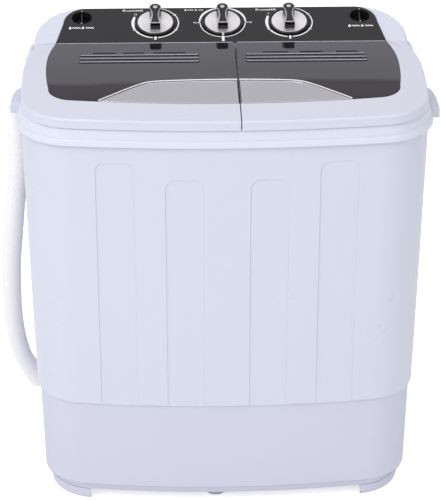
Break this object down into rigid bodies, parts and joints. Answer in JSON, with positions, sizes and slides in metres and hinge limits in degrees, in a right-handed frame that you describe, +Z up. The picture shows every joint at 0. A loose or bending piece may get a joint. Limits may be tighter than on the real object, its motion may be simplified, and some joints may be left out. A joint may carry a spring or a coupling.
{
  "type": "twin tub washer",
  "caption": "Compact portable twin tub washing machine with a wash tub, a spin basket, hinged smoked lids, a sloping control panel with turn knobs and a side drain hose.",
  "frame": {"origin": "point on the floor below the centre of the whole object's bounding box", "axes": "+Z up, +Y to the back, where the control panel is; +X to the right seen from the front, where the spin basket is"},
  "size_m": [0.6323, 0.3902, 0.6537],
  "materials": {
    "white_gloss": "glossy moulded white",
    "white_satin": "satin moulded white",
    "hose_plastic": "satin flexible hose",
    "black_gloss": "piano black",
    "smoked_clear": "smoked glossy plate",
    "silver_trim": "silver lacquer",
    "rubber": "matt black",
    "steel": "bright steel",
    "cast_metal": "cast alloy"
  },
  "bodies": {
    "washer_body": {"base": "white_satin", "foot_front_left": "white_satin", "foot_front_center": "rubber", "foot_front_right": "white_satin", "foot_rear_left": "white_satin", "foot_rear_right": "white_satin", "cabinet": "white_gloss", "rear_cover": "white_gloss", "cover_screw_1": "steel", "cover_screw_2": "steel", "twin_tub": "white_gloss", "handle_left": "white_gloss", "handle_right": "white_gloss", "control_housing": "white_gloss", "control_fascia": "black_gloss", "wash_timer": "white_satin", "drain_selector": "white_satin", "spin_timer": "white_satin", "wash_inlet": "black_gloss", "spin_inlet": "black_gloss", "hinge_bracket_left": "white_satin", "hinge_bracket_center": "white_satin", "hinge_bracket_right": "white_satin", "wash_lid_pin": "steel", "spin_lid_pin": "steel", "bearing_housing": "cast_metal", "wash_shaft_seal": "rubber", "drive_belt": "rubber", "wash_motor": "cast_metal", "spin_motor": "cast_metal", "drain_valve": "white_satin", "hose_outlet": "white_satin", "power_cord": "rubber", "mains_plug": "rubber"},
    "wash_lid": {"wash_lid": "white_gloss", "wash_window": "smoked_clear", "wash_lid_trim": "silver_trim"},
    "spin_lid": {"spin_lid": "white_gloss", "spin_window": "smoked_clear", "spin_lid_trim": "silver_trim"},
    "wash_knob": {"wash_knob": "black_gloss", "wash_knob_disc": "silver_trim"},
    "selector_knob": {"selector_knob": "black_gloss", "selector_knob_disc": "silver_trim"},
    "spin_knob": {"spin_knob": "black_gloss", "spin_knob_disc": "silver_trim"},
    "pulsator": {"pulsator": "white_satin", "pulsator_screw": "steel", "wash_shaft": "steel", "driven_pulley": "cast_metal"},
    "motor_pulley": {"motor_pulley": "cast_metal"},
    "spin_basket": {"spin_basket": "white_satin", "spin_shaft": "steel", "brake_drum": "cast_metal"},
    "spin_inner_cover": {"spin_inner_cover": "white_satin"},
    "brake_lever": {"brake_lever": "steel"},
    "valve_plunger": {"valve_plunger": "rubber"},
    "lint_filter": {"lint_filter": "white_satin"},
    "drain_hose": {"drain_hose": "hose_plastic", "hose_cuff": "hose_plastic"}
  },
  "joints": [
    {"name": "wash_lid_hinge", "type": "hinge", "parent": "washer_body", "child": "wash_lid", "pos_m": [-0.0821, 0.0981, 0.611], "axis": [-1, 0, 0], "range_deg": [0, 100]},
    {"name": "spin_lid_hinge", "type": "hinge", "parent": "washer_body", "child": "spin_lid", "pos_m": [0.1579, 0.0981, 0.611], "axis": [-1, 0, 0], "range_deg": [0, 100]},
    {"name": "wash_timer_turn", "type": "hinge", "parent": "washer_body", "child": "wash_knob", "pos_m": [-0.0782, 0.15259, 0.63009], "axis": [0, 0.3173, -0.9483], "range_deg": [0, 300]},
    {"name": "selector_turn", "type": "hinge", "parent": "washer_body", "child": "selector_knob", "pos_m": [0.0209, 0.15259, 0.63009], "axis": [0, 0.3173, -0.9483], "range_deg": [0, 90]},
    {"name": "spin_timer_turn", "type": "hinge", "parent": "washer_body", "child": "spin_knob", "pos_m": [0.1191, 0.15259, 0.63009], "axis": [0, 0.3173, -0.9483], "range_deg": [0, 300]},
    {"name": "pulsator_spin", "type": "hinge", "parent": "washer_body", "child": "pulsator", "pos_m": [-0.1101, -0.0277, 0.235], "axis": [0, 0, 1], "continuous": true},
    {"name": "motor_pulley_spin", "type": "hinge", "parent": "washer_body", "child": "motor_pulley", "pos_m": [-0.1101, 0.0973, 0.085], "axis": [0, 0, 1], "continuous": true},
    {"name": "spin_basket_spin", "type": "hinge", "parent": "washer_body", "child": "spin_basket", "pos_m": [0.1619, -0.0257, 0.262], "axis": [0, 0, 1], "continuous": true},
    {"name": "inner_cover_lift", "type": "slide", "parent": "spin_basket", "child": "spin_inner_cover", "axis": [0, 0, 1], "range_m": [0, 0.06]},
    {"name": "brake_lever_swing", "type": "hinge", "parent": "washer_body", "child": "brake_lever", "pos_m": [0.2069, -0.0757, 0.1475], "axis": [0, 0, 1], "range_deg": [0, 4]},
    {"name": "valve_plunger_lift", "type": "slide", "parent": "washer_body", "child": "valve_plunger", "axis": [0, 0, 1], "range_m": [0, 0.008]},
    {"name": "lint_filter_lift", "type": "slide", "parent": "washer_body", "child": "lint_filter", "axis": [0, 0, 1], "range_m": [0, 0.05]},
    {"name": "drain_hose_swing", "type": "hinge", "parent": "washer_body", "child": "drain_hose", "pos_m": [-0.2676, 0.1083, 0.052], "axis": [0, -1, 0], "range_deg": [0, 80]}
  ],
  "couplings": [
    {"joint": "motor_pulley_spin", "follows": "pulsator_spin", "ratio": 2.4865},
    {"joint": "brake_lever_swing", "follows": "spin_lid_hinge", "ratio": 0.04},
    {"joint": "valve_plunger_lift", "follows": "selector_turn", "m_per_rad": 0.005092}
  ]
}
